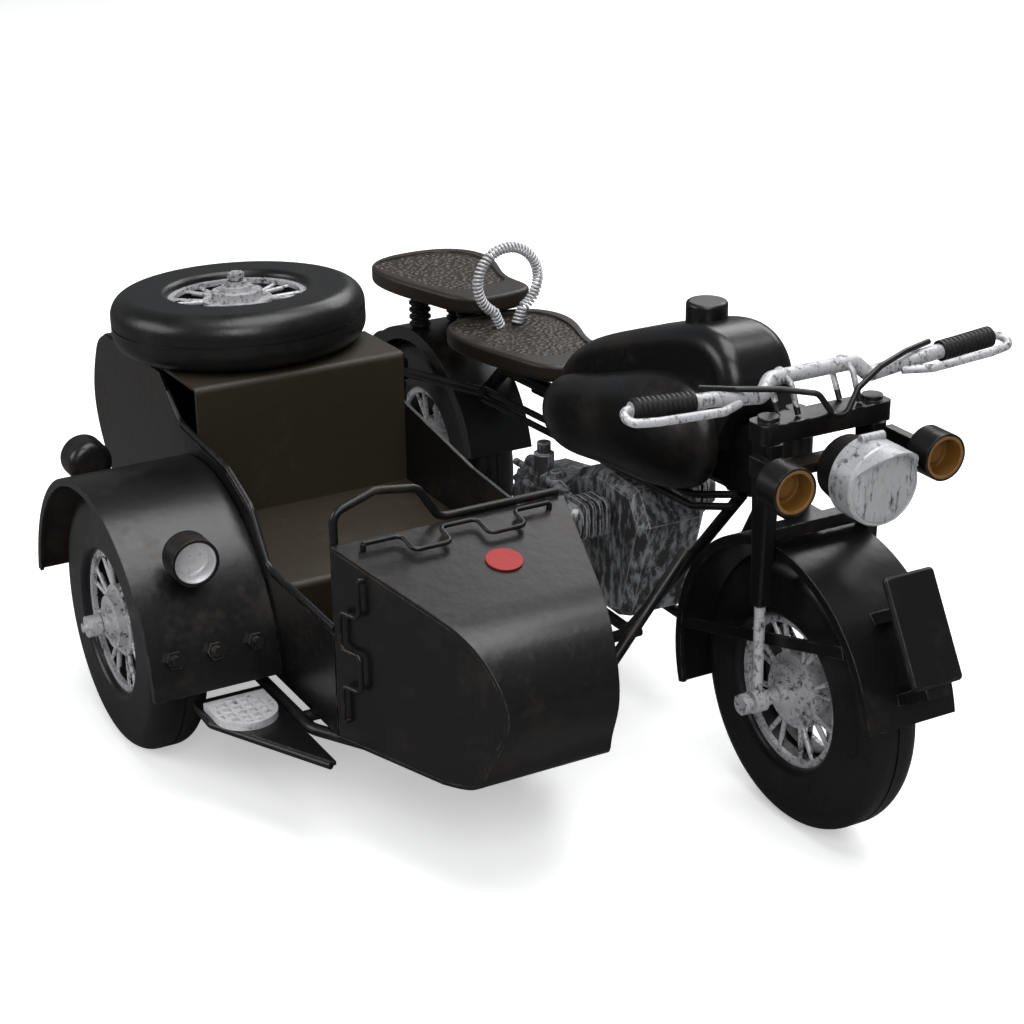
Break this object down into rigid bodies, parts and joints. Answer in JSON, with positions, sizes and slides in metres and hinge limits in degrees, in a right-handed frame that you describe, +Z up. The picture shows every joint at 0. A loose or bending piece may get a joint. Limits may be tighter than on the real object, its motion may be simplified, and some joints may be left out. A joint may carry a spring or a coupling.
{
  "type": "toy motorcycle with sidecar",
  "caption": "Tin model of a motorcycle and sidecar with rolling spoked wheels, a turning fork, an open passenger tub and a spare wheel on the deck.",
  "frame": {"origin": "on the ground, under the middle of the whole model's box", "axes": "+X is the way the motorcycle drives, +Y is its left side, +Z is up; the sidecar is on its right"},
  "size_m": [0.3583, 0.248, 0.1511],
  "materials": {
    "tyre_black": "satin black moulded tyre",
    "wheel_silver": "rough silver paint over metal",
    "black_paint": "semi-gloss black paint with brownish rubbed edges",
    "olive_paint": "satin dark olive brown paint",
    "saddle_brown": "satin dark brown paint with a pebbled inset",
    "silver_paint": "dry brushed silver paint over black",
    "grip_black": "ribbed black",
    "amber_paint": "amber paint inside the turn lamps",
    "red_paint": "gloss red paint"
  },
  "bodies": {
    "chassis": {"badge_disc": "red_paint", "bench_seat": "olive_paint", "carburettors": "silver_paint", "cylinders": "silver_paint", "down_tubes": "black_paint", "engine_block": "silver_paint", "fender_bolts": "black_paint", "fender_lamps": "black_paint", "frame_rails": "black_paint", "front_saddle": "saddle_brown", "grab_rail": "black_paint", "grab_spring": "silver_paint", "head_tube": "black_paint", "lashing_rails": "black_paint", "nose_cowl": "black_paint", "nose_side_left": "black_paint", "nose_side_right": "black_paint", "plungers": "black_paint", "rear_axle": "wheel_silver", "rear_fender": "black_paint", "rear_saddle": "saddle_brown", "saddle_springs": "black_paint", "seat_back": "olive_paint", "sidecar_axle": "wheel_silver", "sidecar_fender": "black_paint", "sidecar_frame": "black_paint", "spare_bolt": "wheel_silver", "spare_tyre": "tyre_black", "spare_wheel": "wheel_silver", "step_bracket": "black_paint", "step_pad": "silver_paint", "tail_lamp": "black_paint", "tank_body": "black_paint", "tank_cap": "black_paint", "tank_pod_left": "black_paint", "tank_pod_right": "black_paint", "tub_shell": "black_paint", "tub_side_left": "black_paint", "tub_side_right": "black_paint"},
    "steering": {"front_axle": "wheel_silver", "fork_crown": "black_paint", "fork_covers": "black_paint", "fork_legs": "silver_paint", "handlebar": "silver_paint", "grips": "grip_black", "levers": "silver_paint", "headlamp_bucket": "silver_paint", "headlamp_rim": "silver_paint", "headlamp_lens": "silver_paint", "turn_lamps": "black_paint", "turn_lenses": "amber_paint", "front_fender": "black_paint", "number_plate": "black_paint", "cables": "black_paint"},
    "front_wheel_body": {"front_tyre": "tyre_black", "front_wheel": "wheel_silver"},
    "rear_wheel_body": {"rear_tyre": "tyre_black", "rear_wheel": "wheel_silver"},
    "sidecar_wheel_body": {"sidecar_tyre": "tyre_black", "sidecar_wheel": "wheel_silver"}
  },
  "joints": [
    {"name": "steer", "type": "hinge", "parent": "chassis", "child": "steering", "pos_m": [0.1066, 0.0553, 0.115], "axis": [0, 0, 1], "range_deg": [-25, 25]},
    {"name": "front_roll", "type": "hinge", "parent": "steering", "child": "front_wheel_body", "pos_m": [0.1186, 0.0553, 0.044], "axis": [0, 1, 0], "continuous": true},
    {"name": "rear_roll", "type": "hinge", "parent": "chassis", "child": "rear_wheel_body", "pos_m": [-0.1234, 0.0553, 0.044], "axis": [0, 1, 0], "continuous": true},
    {"name": "sidecar_roll", "type": "hinge", "parent": "chassis", "child": "sidecar_wheel_body", "pos_m": [-0.0334, -0.1057, 0.044], "axis": [0, 1, 0], "continuous": true}
  ]
}
